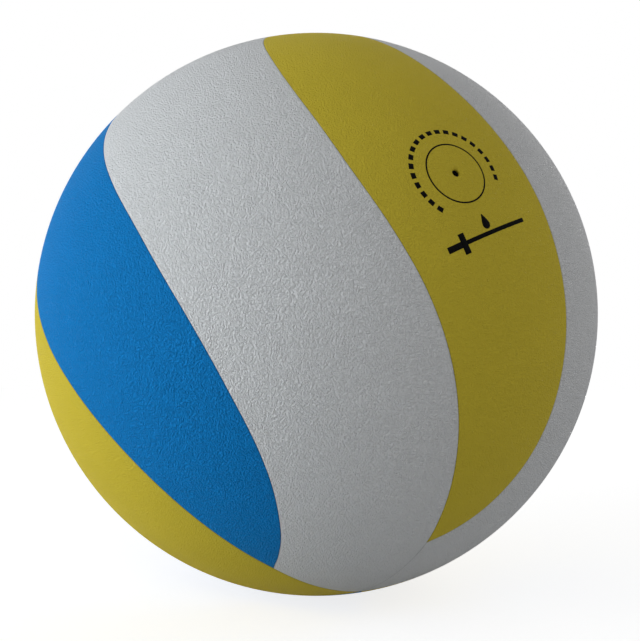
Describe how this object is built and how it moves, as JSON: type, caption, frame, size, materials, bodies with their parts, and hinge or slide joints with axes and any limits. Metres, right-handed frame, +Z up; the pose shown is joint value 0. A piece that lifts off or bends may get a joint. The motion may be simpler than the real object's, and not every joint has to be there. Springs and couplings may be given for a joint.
{
  "type": "volleyball",
  "caption": "Inflated indoor volleyball with swirling glued panels in yellow, blue and white, foam backed, over a wound bladder with a needle valve.",
  "frame": {"origin": "middle of the ball", "axes": "+Z up, -Y towards the viewer, as the ball lies in the picture; the needle valve points to the front, right and up"},
  "size_m": [0.21, 0.21, 0.21],
  "materials": {
    "white_leather": "fine grained synthetic leather, semi matt",
    "yellow_leather": "fine grained synthetic leather, semi matt",
    "blue_leather": "fine grained synthetic leather, semi matt",
    "foam": "soft closed-cell foam",
    "carcass_rubber": "moulded rubber, dull",
    "nylon_thread": "wound thread in latex",
    "butyl_rubber": "thin black rubber",
    "valve_rubber": "soft black rubber"
  },
  "bodies": {
    "root": {"short_panel_1": "yellow_leather", "long_panel_1": "white_leather", "short_panel_2": "blue_leather", "long_panel_2": "yellow_leather", "short_panel_3": "white_leather", "long_panel_3": "blue_leather", "short_panel_4": "white_leather", "long_panel_4": "yellow_leather", "short_panel_5": "blue_leather", "long_panel_5": "white_leather", "short_foam_1": "foam", "long_foam_1": "foam", "short_foam_2": "foam", "long_foam_2": "foam", "short_foam_3": "foam", "long_foam_3": "foam", "short_foam_4": "foam", "long_foam_4": "foam", "short_foam_5": "foam", "long_foam_5": "foam", "rubber_carcass": "carcass_rubber", "thread_winding": "nylon_thread", "bladder": "butyl_rubber", "valve_housing": "valve_rubber", "valve_core": "valve_rubber", "balance_patch": "butyl_rubber"}
  },
  "joints": []
}
